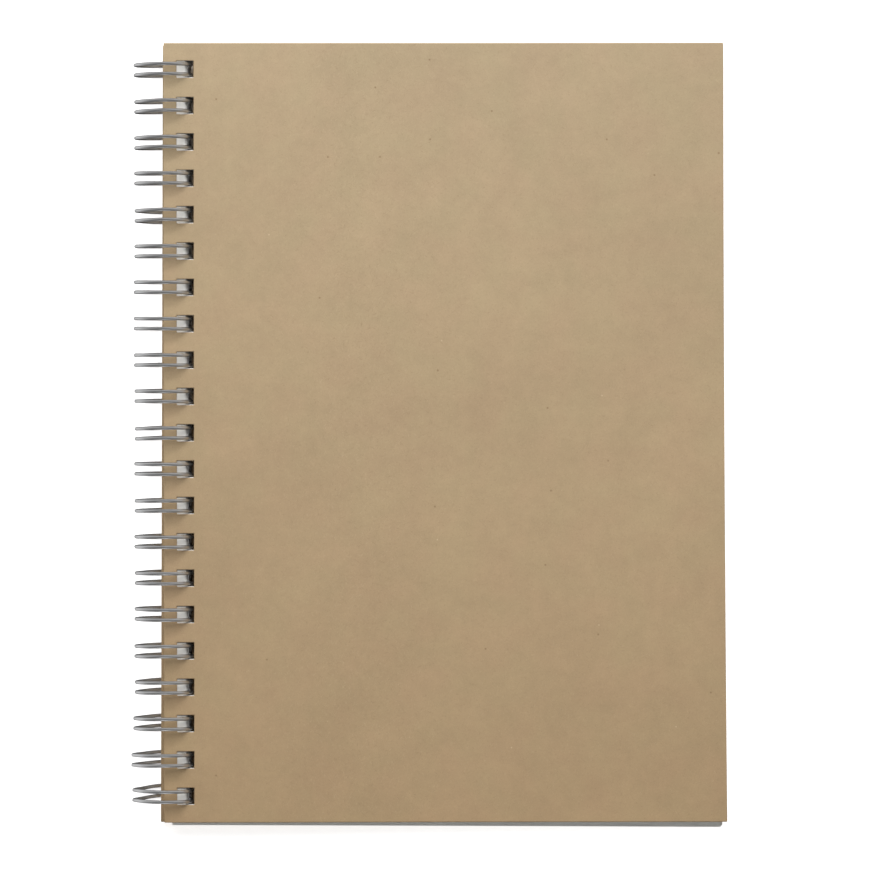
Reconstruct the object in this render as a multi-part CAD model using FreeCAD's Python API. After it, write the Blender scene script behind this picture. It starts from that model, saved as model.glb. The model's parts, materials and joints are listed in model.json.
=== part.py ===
"""A twin-loop bound sketchbook of small portrait sheets between two kraft board covers.

Frame: +Z up, +Y along the spine towards the head of the pages, +X from the spine to the
fore edge. The origin is at the bottom centre of the whole book, so Z = 0 is the level of the
lowest point of the binding rings, with the book lying closed on its back cover.

The pieces are worked out from the centre line of the rings: x is measured from it towards
the fore edge, y from the middle of the row of rings, and "height" is measured up from it.
"""

import FreeCAD, Part
import math
import os

# Sheets
page_width = 128.0
page_height = 182.0
sheet_count = 24
sheet_thickness = 0.18
sheet_air = 0.02            # left between two neighbouring sheets
sheet_row_offset = 0.5      # the punched row sits this much nearer to the head than the tail

# Covers
front_thickness = 0.6
back_thickness = 1.0
cover_extra_width = 2.8     # a cover is wider than the pages by this
cover_trim = 0.4            # and shorter by this
cover_air = 0.05            # between the front cover and the first sheet

# Punching, three holes to the inch
pitch = 25.4 / 3
hole_size = 4.0
cover_hole_margin = 3.0     # from a cover's spine edge to its holes
sheet_hole_margin = 3.3

# Binding wire
wire_diameter = 0.86
wire_side_gap = 0.405       # between a loop's legs and the sides of a hole
seam_clearance = 0.12       # above and below the wire where it lies between the leaves
end_stub = 0.6              # of straight wire past the first and the last bend
headroom_above = 3.0        # inside the rings, over the front cover
turn_clearance = 0.45       # by which the turning back cover clears the front cover's spine edge

# Clearances between the wire and the spine or fore edge side of the holes
sheet_wire_gap = 0.45
front_wire_gap = 0.7
back_wire_gap = 0.45

# Sizes that follow
cover_width = page_width + cover_extra_width
cover_height = page_height - cover_trim
loop_count = int(cover_height // pitch)
leg_spacing = hole_size - wire_diameter - 2 * wire_side_gap
bend_radius = 1.15 * wire_diameter      # where a leg turns into the bridge to the next loop
tip_rise = 0.3 * wire_diameter          # of a closed tip above the line of the bridges
sheet_slip = wire_side_gap / 2          # by which the loose sheets hang towards the tail
sheet_step = sheet_thickness + sheet_air
headroom_below = headroom_above - back_thickness - turn_clearance
seam_space = wire_diameter + 2 * seam_clearance
block_thickness = sheet_count * sheet_step - sheet_air
stack_thickness = front_thickness + cover_air + block_thickness + seam_space + back_thickness
ring_inner_radius = (stack_thickness + headroom_above + headroom_below) / 2
ring_radius = ring_inner_radius + wire_diameter / 2
ring_outer_radius = ring_inner_radius + wire_diameter

# Heights of the undersides, measured from the centre of the rings
front_bottom = ring_inner_radius - headroom_above - front_thickness
first_sheet_bottom = front_bottom - cover_air - sheet_thickness
block_bottom = front_bottom - cover_air - block_thickness
seam_height = block_bottom - seam_space / 2
back_top = block_bottom - seam_space
back_bottom = back_top - back_thickness


def half_chord(radius, height):
    """How far a circle of that radius reaches from the centre line at that height."""
    return math.sqrt(radius ** 2 - height ** 2)


# Spine edges of the covers, which hang with the wire near the far side of their holes
front_left = half_chord(ring_outer_radius, front_bottom) + front_wire_gap - hole_size - cover_hole_margin
back_left = half_chord(ring_outer_radius, back_top) + back_wire_gap - hole_size - cover_hole_margin


def tangent_start(height, run):
    """The angle on the ring where a straight run along its tangent starts, to end at that height.

    A positive run goes on with the angle growing, and a negative one goes back.
    """
    reach = math.hypot(ring_radius, run)
    return math.asin(height / reach) - math.atan2(run, ring_radius)


# Angles on the ring, up from the fore edge side: where a leg leaves its bend, and where it runs
# into the closed tip. A bend and a tip lie in the plane that touches the ring there.
tip_radius = leg_spacing / 2
root_angle = tangent_start(seam_height, bend_radius)
tip_angle = tangent_start(seam_height + tip_rise, -tip_radius)

# The tail and head edges of the sheets and the covers
sheet_tail = -page_height / 2 - sheet_row_offset - sheet_slip
cover_tail = -cover_height / 2
cover_head = cover_height / 2

# From the centre of the rings to the book's own origin
book_right = max(front_left, back_left) + cover_width
to_origin = FreeCAD.Vector(
    (ring_outer_radius - book_right) / 2,
    -(sheet_tail + cover_head) / 2,
    ring_outer_radius,
)


def loop_places():
    """The y of the middle of each loop."""
    middle = (loop_count - 1) / 2
    return [(n - middle) * pitch for n in range(loop_count)]


def rectangle(left, tail, width, length, height):
    """A closed rectangular wire lying level."""
    corners = [(left, tail), (left + width, tail), (left + width, tail + length), (left, tail + length)]
    points = [FreeCAD.Vector(x, y, height) for x, y in corners]
    return Part.makePolygon(points + points[:1])


def leaf(left, tail, width, length, bottom, thickness, hole_left, hole_shift):
    """A flat leaf with its row of square holes."""
    outline = rectangle(left, tail, width, length, bottom)
    holes = [
        rectangle(hole_left, y + hole_shift - hole_size / 2, hole_size, hole_size, bottom)
        for y in loop_places()
    ]
    face = Part.makeFace([outline] + holes, "Part::FaceMakerBullseye")
    return face.extrude(FreeCAD.Vector(0, 0, thickness))


def cover(left, bottom, thickness):
    """A board cover, whose holes are centred on the loops."""
    hole_left = left + cover_hole_margin
    return leaf(left, cover_tail, cover_width, cover_height, bottom, thickness, hole_left, 0)


def sheet(number):
    """One sheet, counted from the front. The sheets follow the curve of the rings."""
    bottom = first_sheet_bottom - (number - 1) * sheet_step
    top = bottom + sheet_thickness
    inside = min(half_chord(ring_inner_radius, bottom), half_chord(ring_inner_radius, top))
    hole_left = inside - sheet_wire_gap
    left = hole_left - sheet_hole_margin
    return leaf(
        left, sheet_tail, page_width, page_height, bottom, sheet_thickness, hole_left, -sheet_slip
    )


def on_ring(angle, y):
    """A point of the wire's centre line."""
    return FreeCAD.Vector(ring_radius * math.cos(angle), y, ring_radius * math.sin(angle))


def onwards(angle):
    """The direction of the ring there, with the angle growing."""
    return FreeCAD.Vector(-math.sin(angle), 0, math.cos(angle))


def arc(start, middle, end):
    """An edge through three points."""
    return Part.Arc(start, middle, end).toShape()


def turn(start, along, across, radius, sweep):
    """An arc that leaves start along one direction and turns towards the other."""
    def at(angle):
        ahead = along * (radius * math.sin(angle))
        aside = across * (radius * (1 - math.cos(angle)))
        return start + ahead + aside
    return arc(start, at(sweep / 2), at(sweep)), at(sweep)


def ring_leg(y, start, end):
    """One leg of a loop, round the ring from one angle to the other."""
    return arc(on_ring(start, y), on_ring((start + end) / 2, y), on_ring(end, y))


def loop_edges(y):
    """One loop: bend, leg, tip, leg and bend, with the points where it starts and ends."""
    tail_y = y - tip_radius
    head_y = y + tip_radius
    full_turn = 2 * math.pi
    towards_head = FreeCAD.Vector(0, 1, 0)
    up_root = onwards(root_angle)
    # Each bend is drawn from its leg outwards
    tail_bend, start = turn(on_ring(root_angle, tail_y), up_root, -towards_head, bend_radius, math.pi / 2)
    head_bend, end = turn(on_ring(root_angle, head_y), up_root, towards_head, bend_radius, math.pi / 2)
    tip, _ = turn(on_ring(tip_angle, tail_y), -onwards(tip_angle), towards_head, tip_radius, math.pi)
    tail_leg = ring_leg(tail_y, root_angle + full_turn, tip_angle)
    head_leg = ring_leg(head_y, tip_angle, root_angle + full_turn)
    return [tail_bend, tail_leg, tip, head_leg, head_bend], start, end


def binding_wire():
    """The one wire that makes every loop and the bridges between them."""
    edges = []
    last = None
    for y in loop_places():
        loop, start, end = loop_edges(y)
        if last is None:
            last = start - FreeCAD.Vector(0, end_stub, 0)
            first = last
        edges.append(Part.LineSegment(last, start).toShape())
        edges.extend(loop)
        last = end
    edges.append(Part.LineSegment(last, last + FreeCAD.Vector(0, end_stub, 0)).toShape())
    section = Part.Wire(Part.makeCircle(wire_diameter / 2, first, FreeCAD.Vector(0, 1, 0)))
    path = Part.Wire(Part.__sortEdges__(edges))
    return path.makePipeShell([section], True, False)


def save(shape, node):
    """Writes one piece, in the book's own frame."""
    placed = shape.copy()
    placed.translate(to_origin)
    placed.exportStep(f"parts/{node}.step")
    print(f"{node}: volume {placed.Volume:.2f} mm3, valid {placed.isValid()}, solids {len(placed.Solids)}")


def main():
    os.makedirs("parts", exist_ok=True)
    save(binding_wire(), "binding_wire")
    save(cover(front_left, front_bottom, front_thickness), "front_cover")
    for number in range(1, sheet_count + 1):
        save(sheet(number), f"sheet_{number:02d}")
    save(cover(back_left, back_bottom, back_thickness), "back_cover")
    print(f"{loop_count} loops, ring inside {2 * ring_inner_radius:.2f} mm across, to origin {to_origin}")


main()
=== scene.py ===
"""The sketchbook's looks: boards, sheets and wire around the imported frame, in metres."""

import json
import math
import random

import bmesh
import bpy
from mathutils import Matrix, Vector


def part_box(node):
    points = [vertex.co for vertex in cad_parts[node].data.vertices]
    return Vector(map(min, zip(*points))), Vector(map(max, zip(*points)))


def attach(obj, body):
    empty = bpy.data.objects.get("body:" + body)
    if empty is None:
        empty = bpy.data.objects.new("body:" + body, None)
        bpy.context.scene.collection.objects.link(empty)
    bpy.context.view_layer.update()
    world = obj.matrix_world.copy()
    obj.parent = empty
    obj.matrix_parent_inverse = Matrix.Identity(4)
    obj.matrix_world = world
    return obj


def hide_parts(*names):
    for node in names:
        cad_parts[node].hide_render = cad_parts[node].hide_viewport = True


MM = 0.001

# Binding wire: the sizes it has in the CAD
WIRE_DIAMETER = 0.86 * MM
LEG_SPACING = 2.33 * MM
BEND_RADIUS = 0.99 * MM
END_STUB = 0.6 * MM
TIP_RISE = 0.26 * MM
RING_STEPS = 72             # points along one leg of a loop
BEND_STEPS = 6
WIRE_SIDES = 16

# How the real loops are bent, in mm. The tables count loops from the tail, and hold those that
# stand out in the photograph. The others are bent by chance.
LEAN_SPREAD = 0.12
LOW_LEAN = 0.2              # every underside leans this much towards the head
BACK_LEANS = {0: 0.18, 1: -0.1, 10: -0.22, 11: 0.12, 16: -0.2, 18: -0.15, 19: -0.22, 20: -0.1}
LOW_LEANS = {0: 0.8, 1: 0.3, 2: 0.35, 16: -0.3, 18: 0.1, 19: 0.1, 20: 0.1}
BULGES = {0: 0.6, 1: 0.82, 2: 0.35}

# Leaves
SPINE_WIDTH = 7 * MM        # from the ring centres to where the leaves begin to settle
SETTLE_LENGTH = 75 * MM     # and from there to where they have settled on the back cover
SETTLE_DROP = 1.0 * MM
GRID_STEP = 9 * MM
FIRST_SLANT = 0.35 * MM     # the loose block leans: its first sheet is this much nearer to the head
BLOCK_SKEW = 0.005          # and its last sheets hang lower at the fore edge
BLOCK_TRIM = 0.5 * MM       # and its tail was cut aslant: the first sheet is that much shorter
FIRST_SHEET_SLIP = -0.95 * MM           # the first sheet has slid towards the spine
SHEET_JITTER = 0.025 * MM
BACK_SKEW = 0.0036          # the back cover is turned a little on the wire
BACK_SLIP = -0.26 * MM      # and has slid towards the tail
FRONT_TAPER = 0.0045        # the front cover's fore edge is a little out of square
FRONT_HOLLOW = 0.2 * MM     # and hollow in the middle
BOARD_BEVEL = 0.2 * MM

# Materials: each kraft mottle is features to the metre, roughness, and share of the brightness
KRAFT_MOTTLES = ((26, 0.5, 0.035), (120, 0.5, 0.03), (420, 0.5, 0.025), (2600, 0.6, 0.03))
# Painted light: the kraft is made darker and warmer at the tail and lighter and cooler at the head, as
# if lit from the head
KRAFT_PAINTED_LIGHT = ((1.0, 0.95, 0.90), (1.005, 1.04, 1.09))         # at the tail and at the head
DARK_FIBRE_TURNS = (0.3, 1.35, 2.45)
LIGHT_FIBRE_TURNS = (0.8, 1.9)
BOARD_END = 90 * MM         # from the middle of a cover to where the painted light gradient stops

# Stage
FLOOR_REACH = 3.0
FLOOR_GLOW = 0.7
FLOOR_DARK = (62.4 * MM, 88 * MM)       # half the width and length that don't glow under the book
FLOOR_FADE = 2.5 * MM
KEY_PLACE = (-0.05, 0.28, 0.5)
KEY_SIZE = 0.4
KEY_POWER = 3.0
CARD_PLACE = (-0.04, -0.4, 0.14)
CARD_AIM = (-0.04, -0.09, 0)
CARD_SIZE = 0.16
CARD_POWER = 0.25

# Camera: straight over the book, as far away as the photograph's rings show
CAMERA_PLACE = Vector((1.4, 8.0, 1500.0)) * MM
CAMERA_AIM = Vector((1.28, -0.09, 9.94)) * MM
CAMERA_ROLL = math.radians(-0.057)
CAMERA_SENSOR = 36.0
CAMERA_LENS = 264.79

random.seed(21)

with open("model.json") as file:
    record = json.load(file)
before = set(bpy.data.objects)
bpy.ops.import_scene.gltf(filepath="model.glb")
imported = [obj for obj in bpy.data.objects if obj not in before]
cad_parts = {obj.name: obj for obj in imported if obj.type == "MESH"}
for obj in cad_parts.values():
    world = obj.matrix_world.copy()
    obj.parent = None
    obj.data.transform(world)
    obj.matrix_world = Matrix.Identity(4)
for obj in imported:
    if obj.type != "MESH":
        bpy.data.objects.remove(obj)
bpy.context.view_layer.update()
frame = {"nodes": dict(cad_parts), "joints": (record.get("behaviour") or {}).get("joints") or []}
nodes = frame["nodes"]
SHEETS = sorted(name for name in nodes if name.startswith("sheet_"))
ring_centre = Vector(frame["joints"][0]["pos_m"])
spine_line = ring_centre.x + SPINE_WIDTH


# ---------------------------------------------------------------- material nodes

class Graph:
    """A short way to build a node tree. A value is an output, a number or a colour (r, g, b)."""

    def __init__(self, tree):
        self.tree = tree

    def new(self, kind, **settings):
        node = self.tree.nodes.new(kind)
        for key, value in settings.items():
            setattr(node, key, value)
        return node

    def link(self, source, target):
        self.tree.links.new(source, target)

    def put(self, value, socket):
        if isinstance(value, (int, float)):
            socket.default_value = value
        elif isinstance(value, tuple):
            socket.default_value = (*value, 1) if len(socket.default_value) == 4 else value
        else:
            self.link(value, socket)

    def split(self, vector):
        """The X, Y and Z outputs of a vector."""
        node = self.new("ShaderNodeSeparateXYZ")
        self.link(vector, node.inputs["Vector"])
        return node.outputs

    def spread(self, value, low, high, to_low, to_high):
        """Maps one range to another, held at its ends."""
        node = self.new("ShaderNodeMapRange", clamp=True)
        self.link(value, node.inputs["Value"])
        ends = {"From Min": low, "From Max": high, "To Min": to_low, "To Max": to_high}
        for key, number in ends.items():
            node.inputs[key].default_value = number
        return node.outputs["Result"]

    def math(self, operation, first, second):
        node = self.new("ShaderNodeMath", operation=operation)
        self.put(first, node.inputs[0])
        self.put(second, node.inputs[1])
        return node.outputs[0]

    def total(self, *values):
        result = values[0]
        for value in values[1:]:
            result = self.math("ADD", result, value)
        return result


class Surface(Graph):
    """A material's nodes, up to its shader."""

    def __init__(self, name):
        self.material = bpy.data.materials.new(name)
        self.material.use_nodes = True
        super().__init__(self.material.node_tree)
        self.shader = self.tree.nodes["Principled BSDF"]
        self.coords = self.new("ShaderNodeTexCoord").outputs["Object"]

    def set(self, **sockets):
        """Plain values of the shader's own sockets, with _ for a space."""
        for key, value in sockets.items():
            self.put(value, self.shader.inputs[key.replace("_", " ")])

    def stretched(self, size, turn=0.0):
        """The object's coordinates, turned about Z, in units of that size in metres along each axis."""
        mapping = self.new("ShaderNodeMapping", vector_type="TEXTURE")
        mapping.inputs["Rotation"].default_value = (0, 0, turn)
        mapping.inputs["Scale"].default_value = size
        self.link(self.coords, mapping.inputs["Vector"])
        return mapping.outputs["Vector"]

    def noise(self, scale, detail=2.0, roughness=0.5, vector=None):
        """A noise of that many features to the metre, from 0 to 1."""
        node = self.new("ShaderNodeTexNoise")
        node.inputs["Scale"].default_value = scale
        node.inputs["Detail"].default_value = detail
        node.inputs["Roughness"].default_value = roughness
        self.link(vector if vector is not None else self.coords, node.inputs["Vector"])
        return node.outputs["Fac"]

    def around(self, noise, amount, low=0.3):
        """A noise as a number from -amount to amount, held where it is under low or over 1 - low."""
        return self.spread(noise, low, 1 - low, -amount, amount)

    def mix(self, factor, first, second, blend="MIX"):
        """Two colours mixed."""
        node = self.new("ShaderNodeMix", data_type="RGBA", blend_type=blend)
        for socket, value in ((0, factor), (6, first), (7, second)):
            self.put(value, node.inputs[socket])
        return node.outputs[2]

    def brighten(self, colour, factor):
        """A colour times a number that changes over the surface."""
        node = self.new("ShaderNodeVectorMath", operation="SCALE")
        self.put(colour, node.inputs[0])
        self.put(factor, node.inputs["Scale"])
        return node.outputs[0]

    def bump(self, height, distance, strength=1.0, under=None):
        """A bump of that height in metres, over another if one is given."""
        node = self.new("ShaderNodeBump")
        node.inputs["Strength"].default_value = strength
        node.inputs["Distance"].default_value = distance
        self.link(height, node.inputs["Height"])
        if under is not None:
            self.link(under, node.inputs["Normal"])
        return node.outputs["Normal"]

    def finish(self, colour, roughness, normal):
        self.set(Base_Color=colour, Roughness=roughness)
        self.link(normal, self.shader.inputs["Normal"])
        return self.material


def fibres(m, length, width, turn, threshold):
    """Thin streaks in one direction: 0 nearly everywhere and 1 on a fibre."""
    streaks = m.noise(1.0, 1.0, 0.4, m.stretched((length, width, length), turn))
    return m.spread(streaks, threshold, threshold + 0.07, 0.0, 1.0)


def specks(m, spacing, radius, share):
    """Scattered round specks: one in each share of the cells of that spacing."""
    cells = m.new("ShaderNodeTexVoronoi", voronoi_dimensions="2D")
    cells.inputs["Scale"].default_value = 1 / spacing
    m.link(m.coords, cells.inputs["Vector"])
    split = m.new("ShaderNodeSeparateColor")
    m.link(cells.outputs["Color"], split.inputs["Color"])
    near = m.spread(cells.outputs["Distance"], 0.4 * radius / spacing, radius / spacing, 1.0, 0.0)
    chosen = m.spread(split.outputs["Red"], share, share + 0.01, 1.0, 0.0)
    return m.math("MULTIPLY", near, chosen)


def tone_and_painted_light(m, base):
    """A base colour that wavers between pink and olive, with painted light: darker and warmer at the
    tail, lighter and cooler at the head.
    """
    tint = m.spread(m.noise(95), 0.35, 0.65, 0.0, 1.0)
    pink = tuple(c * k for c, k in zip(base, (1.012, 0.995, 0.995)))
    olive = tuple(c * k for c, k in zip(base, (0.99, 1.005, 0.99)))
    # painted light: the colour goes from the tail's factors to the head's along the board
    along = m.spread(m.split(m.coords)["Y"], -BOARD_END, BOARD_END, 0.0, 1.0)
    return m.mix(1.0, m.mix(tint, pink, olive), m.mix(along, *KRAFT_PAINTED_LIGHT), "MULTIPLY")


def kraft(name, base, dark, light):
    """Unbleached kraft board: mottled, with fibres pressed into a dull face."""
    m = Surface(name)
    mottles = [m.around(m.noise(scale, 3.0, rough), amount) for scale, rough, amount in KRAFT_MOTTLES]
    dark_fibres = [fibres(m, 1.1 * MM, 0.13 * MM, turn, 0.68) for turn in DARK_FIBRE_TURNS]
    light_fibres = [fibres(m, 0.9 * MM, 0.12 * MM, turn, 0.67) for turn in LIGHT_FIBRE_TURNS]
    marks = [(fibre, 0.3, dark) for fibre in dark_fibres]
    marks += [(fibre, 0.28, light) for fibre in light_fibres]
    marks.append((specks(m, 13 * MM, 0.3 * MM, 0.2), 0.75, dark))
    marks.append((specks(m, 19 * MM, 0.22 * MM, 0.16), 0.8, light))
    colour = m.brighten(tone_and_painted_light(m, base), m.total(1.0, *mottles))
    for mark, strength, tone in marks:
        colour = m.mix(m.math("MULTIPLY", mark, strength), colour, tone)
    fine = m.noise(3800, 2.0, 0.6)
    relief = m.total(m.math("MULTIPLY", fine, 0.5), dark_fibres[0], light_fibres[0])
    waves = m.bump(m.noise(170), 0.03 * MM, 0.5)
    m.set(Specular_IOR_Level=0.3)
    return m.finish(colour, m.spread(fine, 0.2, 0.8, 0.78, 0.92), m.bump(relief, 0.012 * MM, 0.6, waves))


def cut_edge(name, base, layer, contrast):
    """The cut side of a board or sheet: pressed layers lying along the face."""
    m = Surface(name)
    layers = m.noise(1.0, 2.0, 0.6, m.stretched((6 * MM, 6 * MM, layer)))
    shade = m.total(1.0, m.around(layers, contrast), m.around(m.noise(3000), 0.05))
    m.set(Specular_IOR_Level=0.2)
    return m.finish(m.brighten(base, shade), 0.92, m.bump(layers, 0.02 * MM, 0.7))


def drawing_paper(name, base):
    """Uncoated white drawing paper with a faint tooth."""
    m = Surface(name)
    tooth = m.noise(1900, 3.0, 0.6)
    felt = m.noise(1.0, 2.0, 0.5, m.stretched((1.7 * MM, 1.1 * MM, 1.7 * MM), 0.4))
    shade = m.total(1.0, m.around(m.noise(60), 0.008), m.around(tooth, 0.012))
    warm = tuple(c * k for c, k in zip(base, (1.0, 0.995, 0.98)))
    colour = m.brighten(m.mix(m.noise(240), base, warm), shade)
    relief = m.total(tooth, m.math("MULTIPLY", felt, 0.8))
    m.set(Specular_IOR_Level=0.25)
    return m.finish(colour, 0.9, m.bump(relief, 0.014 * MM, 0.6))


def satin_wire(name, base):
    """Drawn and plated steel wire: satin, with faint die lines and handling marks."""
    m = Surface(name)
    lines = m.noise(1.0, 2.0, 0.5, m.stretched((2 * MM, 0.11 * MM, 2 * MM)))
    patches = m.noise(350)
    shade = m.total(1.0, m.around(lines, 0.05), m.around(patches, 0.04, 0.35))
    worn = m.total(patches, m.math("MULTIPLY", lines, 0.5))
    roughness = m.spread(worn, 0.4, 1.1, 0.36, 0.48)
    m.set(Metallic=1.0)
    return m.finish(m.brighten(base, shade), roughness, m.bump(lines, 0.004 * MM, 0.5))


FRONT_FACE = kraft("kraft_front", (0.43, 0.319, 0.194), (0.25, 0.165, 0.085), (0.60, 0.47, 0.31))
FRONT_EDGE = cut_edge("kraft_front_edge", (0.33, 0.25, 0.155), 0.11 * MM, 0.16)
# Painted shade: the back cover's kraft and cut edge are the front cover's made about a tenth darker, for
# the shadow it lies in under the book
BACK_FACE_PAINTED_SHADE = kraft("kraft_back", (0.39, 0.287, 0.176), (0.23, 0.15, 0.08), (0.56, 0.43, 0.28))
BACK_EDGE_PAINTED_SHADE = cut_edge("kraft_back_edge", (0.30, 0.225, 0.14), 0.14 * MM, 0.18)
PAPER_FACE = drawing_paper("drawing_paper", (0.84, 0.83, 0.80))
PAPER_EDGE = cut_edge("drawing_paper_edge", (0.78, 0.77, 0.74), 0.05 * MM, 0.05)
WIRE = satin_wire("satin_wire", (0.55, 0.55, 0.555))


# ---------------------------------------------------------------- leaves

def distinct(values):
    """The values in order, without those that repeat the one before."""
    found = []
    for value in sorted(values):
        if not found or value - found[-1] > 0.01 * MM:
            found.append(value)
    return found


def leaf_lines(node):
    """The lines across and along a leaf that bound it and its holes, read from the CAD solid."""
    points = [v.co for v in nodes[node].data.vertices]
    across = distinct(p.x for p in points)
    along = distinct(p.y for p in points)
    return across, along


def filled(lines, step):
    """Lines with more put between any two that are further apart than the step."""
    result = [lines[0]]
    for low, high in zip(lines, lines[1:]):
        parts = max(1, math.ceil((high - low) / step))
        result += [low + (high - low) * n / parts for n in range(1, parts + 1)]
    return result


def solid_cells(xs, ys, edges_x, edges_y):
    """The (column, row) of each cell of a leaf's grid that isn't in a hole, in order."""
    hole_left, hole_right = edges_x[1:3]
    holes = list(zip(edges_y[1:-1:2], edges_y[2:-1:2]))

    def is_hole(x, y):
        return hole_left < x < hole_right and any(low < y < high for low, high in holes)

    return [
        (column, row)
        for column in range(len(xs) - 1)
        for row in range(len(ys) - 1)
        if not is_hole((xs[column] + xs[column + 1]) / 2, (ys[row] + ys[row + 1]) / 2)
    ]


def finished_mesh(name, bm, sharp_angle):
    """A smooth-shaded mesh of what was built, sharp where it turns by more than that angle."""
    for face in bm.faces:
        face.smooth = True
    mesh = bpy.data.meshes.new(name)
    bm.to_mesh(mesh)
    bm.free()
    mesh.set_sharp_from_angle(angle=sharp_angle)
    return mesh


def leaf_mesh(name, node, place):
    """A leaf with square holes as a closed mesh. place(x, y) gives how far a point is moved.

    Faces of material 0 are the two sides, and of material 1 the cut edges.
    """
    low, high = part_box(node)
    edges_x, edges_y = leaf_lines(node)
    xs = filled(edges_x, GRID_STEP)
    ys = filled(edges_y, GRID_STEP)
    cells = solid_cells(xs, ys, edges_x, edges_y)
    solid = set(cells)
    bm = bmesh.new()
    corners = {}

    def corner(grid_point, z):
        if (grid_point, z) not in corners:
            x, y = xs[grid_point[0]], ys[grid_point[1]]
            corners[grid_point, z] = bm.verts.new(Vector((x, y, z)) + place(x, y))
        return corners[grid_point, z]

    for column, row in cells:
        ring = [(column, row), (column + 1, row), (column + 1, row + 1), (column, row + 1)]
        beyond = [(column, row - 1), (column + 1, row), (column, row + 1), (column - 1, row)]
        bm.faces.new([corner(point, high.z) for point in ring])
        bm.faces.new([corner(point, low.z) for point in reversed(ring)])
        for start, end, cell in zip(ring, ring[1:] + ring[:1], beyond):
            if cell not in solid:
                outline = [(start, low.z), (end, low.z), (end, high.z), (start, high.z)]
                wall = bm.faces.new([corner(point, z) for point, z in outline])
                wall.material_index = 1
    return finished_mesh(name, bm, math.radians(40))


def settle(x):
    """How far a leaf has come down at x: the wire holds it up at the spine only."""
    t = min(max((x - spine_line) / SETTLE_LENGTH, 0.0), 1.0)
    return -SETTLE_DROP * t * t * (3 - 2 * t)


def make_leaf(name, node, place, materials, bevel=0.0):
    """A leaf piece that stands for its CAD node and turns with its body."""
    piece = bpy.data.objects.new(name, leaf_mesh(name, node, place))
    bpy.context.scene.collection.objects.link(piece)
    for material in materials:
        piece.data.materials.append(material)
    if bevel:
        rounding = piece.modifiers.new("rounded_edges", "BEVEL")
        rounding.width = bevel
        rounding.segments = 2
        rounding.limit_method = "ANGLE"
        rounding.angle_limit = math.radians(60)
        rounding.material = 0
    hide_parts(node)
    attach(piece, node)
    return piece


def make_front_cover():
    fore_edge, head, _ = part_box("front_cover")[1]

    def place(x, y):
        across = max(0.0, x - spine_line) / (fore_edge - spine_line)
        inwards = FRONT_TAPER * y + FRONT_HOLLOW * (1 - (y / head) ** 2)
        return Vector((-inwards * across, 0, settle(x)))

    materials = (FRONT_FACE, FRONT_EDGE)
    make_leaf("front_cover_board", "front_cover", place, materials, BOARD_BEVEL)


def make_back_cover():
    def place(x, y):
        return Vector((BACK_SKEW * y, BACK_SLIP, 0))

    materials = (BACK_FACE_PAINTED_SHADE, BACK_EDGE_PAINTED_SHADE)
    make_leaf("back_cover_board", "back_cover", place, materials, BOARD_BEVEL)


def make_sheet(number, node):
    """One loose sheet, counted from 0 at the front, where depth is 0. At the back, depth is 1."""
    depth = number / (len(SHEETS) - 1)
    shift_x = random.uniform(-1, 1) * SHEET_JITTER + (FIRST_SHEET_SLIP if number == 0 else 0)
    shift_y = random.uniform(-1, 1) * SHEET_JITTER + FIRST_SLANT * (1 - depth)
    skew = BLOCK_SKEW * depth
    trim = BLOCK_TRIM * (1 - depth)
    tail = leaf_lines(node)[1][0]

    def place(x, y):
        move_y = shift_y - skew * max(0.0, x - spine_line) + (trim if y == tail else 0)
        return Vector((shift_x, move_y, settle(x + shift_x)))

    make_leaf(node + "_paper", node, place, (PAPER_FACE, PAPER_EDGE))


# ---------------------------------------------------------------- binding wire

def loop_centres():
    """The y of each loop, from the tail to the head: the middles of the cover's holes."""
    along = leaf_lines("front_cover")[1]
    return [(a + b) / 2 for a, b in zip(along[1:-1:2], along[2:-1:2])]


def ring_radius():
    low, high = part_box("binding_wire")
    return (high.z - low.z) / 2 - WIRE_DIAMETER / 2


def seam_height():
    """The height of the bridges: the middle of the space between the last sheet and the back cover."""
    return (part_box(SHEETS[-1])[0].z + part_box("back_cover")[1].z) / 2 - ring_centre.z


def tangent_start(radius, height, run):
    """The angle where a straight run along the ring's tangent starts, to end at that height."""
    return math.asin(height / math.hypot(radius, run)) - math.atan2(run, radius)


def ring_point(radius, angle, y):
    return Vector((radius * math.cos(angle), y, radius * math.sin(angle)))


def arc_points(start, along, across, radius, sweep, steps):
    """Points of an arc that leaves start along one direction and turns towards the other."""
    return [
        start
        + along * (radius * math.sin(sweep * n / steps))
        + across * (radius * (1 - math.cos(sweep * n / steps)))
        for n in range(1, steps + 1)
    ]


def bent(point, radius, back_lean, low_lean, bulge):
    """A point of a loop moved by its leans and bulge, which are nothing at the holes."""
    away = max(0.0, -point.x / radius)
    above = max(0.0, point.z / radius)
    below = max(0.0, -point.z / radius) * min(1.0, max(0.0, 1 - 2 * point.x / radius))
    out = -bulge * away ** 6 * (1 - above) ** 3
    return point + Vector((out, back_lean * away + low_lean * below ** 3, 0))


def loop_points(radius, root, tip):
    """One straight loop about y = 0, from the bend at its tail side to the bend at its head side."""
    half = LEG_SPACING / 2
    sideways = Vector((0, 1, 0))
    onwards = Vector((-math.sin(root), 0, math.cos(root)))
    into_tip = Vector((math.sin(tip), 0, -math.cos(tip)))

    def bend(side):
        leg_end = ring_point(radius, root, side * half)
        return arc_points(leg_end, onwards, sideways * side, BEND_RADIUS, math.pi / 2, BEND_STEPS)

    span = root + 2 * math.pi - tip
    angles = [tip + span * n / RING_STEPS for n in range(RING_STEPS + 1)]
    head_leg = [ring_point(radius, angle, half) for angle in angles]
    tail_leg = [ring_point(radius, angle, -half) for angle in reversed(angles)]
    closed_tip = arc_points(tail_leg[-1], into_tip, sideways, half, math.pi, 2 * BEND_STEPS)
    return bend(-1)[::-1] + tail_leg + closed_tip[:-1] + head_leg + bend(1)


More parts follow.
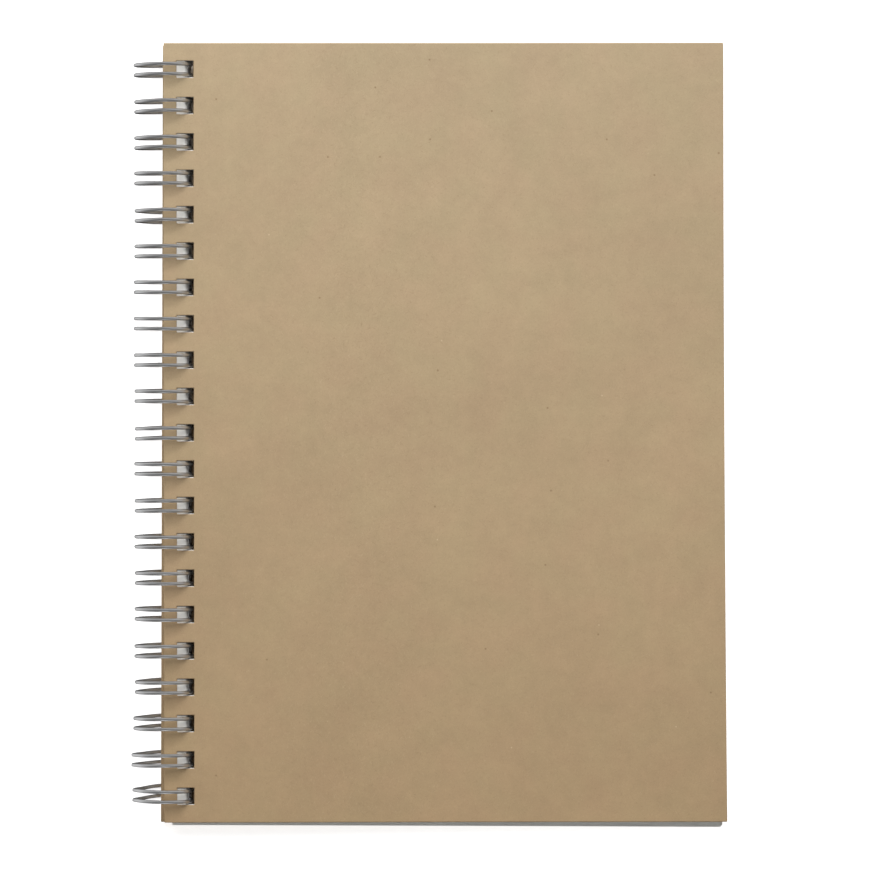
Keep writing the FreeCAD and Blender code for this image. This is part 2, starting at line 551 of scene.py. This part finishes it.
def wire_path():
    """The centre line of the whole wire, with every loop bent a little differently."""
    radius = ring_radius()
    height = seam_height()
    root = tangent_start(radius, height, BEND_RADIUS)
    tip = tangent_start(radius, height + TIP_RISE, -LEG_SPACING / 2)
    path = []
    for number, y in enumerate(loop_centres()):
        back, low, out = (random.uniform(-1, 1) * LEAN_SPREAD for _ in range(3))
        shifts = [
            table.get(number, by_chance) * MM
            for table, by_chance in ((BACK_LEANS, back), (LOW_LEANS, LOW_LEAN + low), (BULGES, out))
        ]
        place = Vector((ring_centre.x, y, ring_centre.z))
        path += [place + bent(point, radius, *shifts) for point in loop_points(radius, root, tip)]
    stub = Vector((0, END_STUB, 0))
    return [path[0] - stub] + path + [path[-1] + stub]


def tube(name, path, radius, sides):
    """A round bar along a path, with closed ends. Its section is carried along without twisting."""
    bm = bmesh.new()
    normal = Vector((0, 0, 1))
    angles = [2 * math.pi * k / sides for k in range(sides)]
    rings = []
    for n, point in enumerate(path):
        before = path[max(n - 1, 0)]
        after = path[min(n + 1, len(path) - 1)]
        ahead = (after - before).normalized()
        normal = (normal - ahead * normal.dot(ahead)).normalized()
        side = ahead.cross(normal)
        section = [normal * math.cos(angle) + side * math.sin(angle) for angle in angles]
        rings.append([bm.verts.new(point + outwards * radius) for outwards in section])
    for low, high in zip(rings, rings[1:]):
        for k in range(sides):
            after = (k + 1) % sides
            bm.faces.new([low[k], low[after], high[after], high[k]])
    bm.faces.new(reversed(rings[0]))
    bm.faces.new(rings[-1])
    return finished_mesh(name, bm, math.radians(50))


def make_wire():
    mesh = tube("binding_wire_loops", wire_path(), WIRE_DIAMETER / 2, WIRE_SIDES)
    piece = bpy.data.objects.new("binding_wire_loops", mesh)
    bpy.context.scene.collection.objects.link(piece)
    mesh.materials.append(WIRE)
    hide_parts("binding_wire")
    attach(piece, "binding_wire")


# ---------------------------------------------------------------- stage

def floor_material():
    """A light table, which is dark where the book covers it."""
    m = Surface("floor")
    place = m.split(m.coords)
    beyond = []
    for axis, edge in zip(("X", "Y"), FLOOR_DARK):
        distance = m.math("ABSOLUTE", place[axis], 0.0)
        beyond.append(m.spread(distance, edge - FLOOR_FADE, edge, 0.0, FLOOR_GLOW))
    m.set(
        Base_Color=(0.93, 0.93, 0.93),
        Roughness=0.9,
        Specular_IOR_Level=0.1,
        Emission_Color=(1.0, 1.0, 1.0),
        Emission_Strength=m.math("MAXIMUM", *beyond),
    )
    return m.material


def make_floor():
    """A pale floor that touches the bottoms of the rings and the back cover's fore edge."""
    low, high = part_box("back_cover")
    slope = low.z / (high.x - ring_centre.x)
    outline = [(-1, -1), (1, -1), (1, 1), (-1, 1)]
    corners = [(x * FLOOR_REACH, y * FLOOR_REACH) for x, y in outline]
    points = [(x, y, slope * (x - ring_centre.x)) for x, y in corners]
    mesh = bpy.data.meshes.new("floor")
    mesh.from_pydata(points, [], [(0, 1, 2, 3)])
    floor = bpy.data.objects.new("floor", mesh)
    bpy.context.scene.collection.objects.link(floor)
    mesh.materials.append(floor_material())
    floor.visible_glossy = False        # the wire is to mirror the studio, not the white floor


def area_light(name, place, aim, size, power, mirrored=False):
    """A square soft box that looks from one point at another.

    It lights the scene without showing in reflections, or only shows in them.
    """
    data = bpy.data.lights.new(name, "AREA")
    data.size = size
    data.energy = power
    light = bpy.data.objects.new(name, data)
    light.location = place
    light.rotation_euler = (Vector(aim) - Vector(place)).to_track_quat("-Z", "Y").to_euler()
    light.visible_camera = False
    light.visible_glossy = mirrored
    light.visible_diffuse = not mirrored
    bpy.context.scene.collection.objects.link(light)


def make_sky():
    """A studio that is lightest low down beyond the head of the book, and darker overhead.

    Under the horizon it is light only on the spine side.
    """
    world = bpy.data.worlds.new("studio")
    world.use_nodes = True
    sky = Graph(world.node_tree)
    towards = sky.split(sky.new("ShaderNodeTexCoord").outputs["Generated"])
    along = sky.spread(towards["Y"], -0.8, 0.6, 0.12, 1.0)
    overhead = sky.spread(towards["Z"], 0.2, 0.9, 1.0, 0.35)
    above = sky.spread(towards["Z"], -0.15, 0.0, 0.2, 1.0)
    under = sky.spread(towards["Z"], -0.15, 0.0, 1.0, 0.0)
    spine_side = sky.spread(towards["X"], -0.85, -0.25, 1.2, 0.0)
    upper = sky.math("MULTIPLY", sky.math("MULTIPLY", along, overhead), above)
    lower = sky.math("MULTIPLY", under, spine_side)
    background = sky.tree.nodes["Background"]
    sky.put((1.0, 1.0, 1.0), background.inputs["Color"])
    sky.put(sky.math("MAXIMUM", upper, lower), background.inputs["Strength"])
    bpy.context.scene.world = world


def make_lights():
    """A soft box near the head of the book, and a small card that the wire mirrors at the tail."""
    area_light("key_light", KEY_PLACE, (0, 0, 0), KEY_SIZE, KEY_POWER)
    area_light("tail_card", CARD_PLACE, CARD_AIM, CARD_SIZE, CARD_POWER, mirrored=True)
    make_sky()


def make_camera():
    """The photograph's view: nearly straight down, from one and a half metres."""
    data = bpy.data.cameras.new("camera")
    data.sensor_width = CAMERA_SENSOR
    data.lens = CAMERA_LENS
    data.clip_start = 0.01
    camera = bpy.data.objects.new("camera", data)
    ahead = CAMERA_AIM - CAMERA_PLACE
    camera.location = CAMERA_PLACE
    camera.rotation_euler = (math.atan2(ahead.y, -ahead.z), math.atan2(-ahead.x, -ahead.z), CAMERA_ROLL)
    bpy.context.scene.collection.objects.link(camera)
    bpy.context.scene.camera = camera


make_front_cover()
for number, node in enumerate(SHEETS):
    make_sheet(number, node)
make_back_cover()
make_wire()
make_floor()
make_lights()
make_camera()
bpy.context.scene.view_settings.view_transform = "Standard"
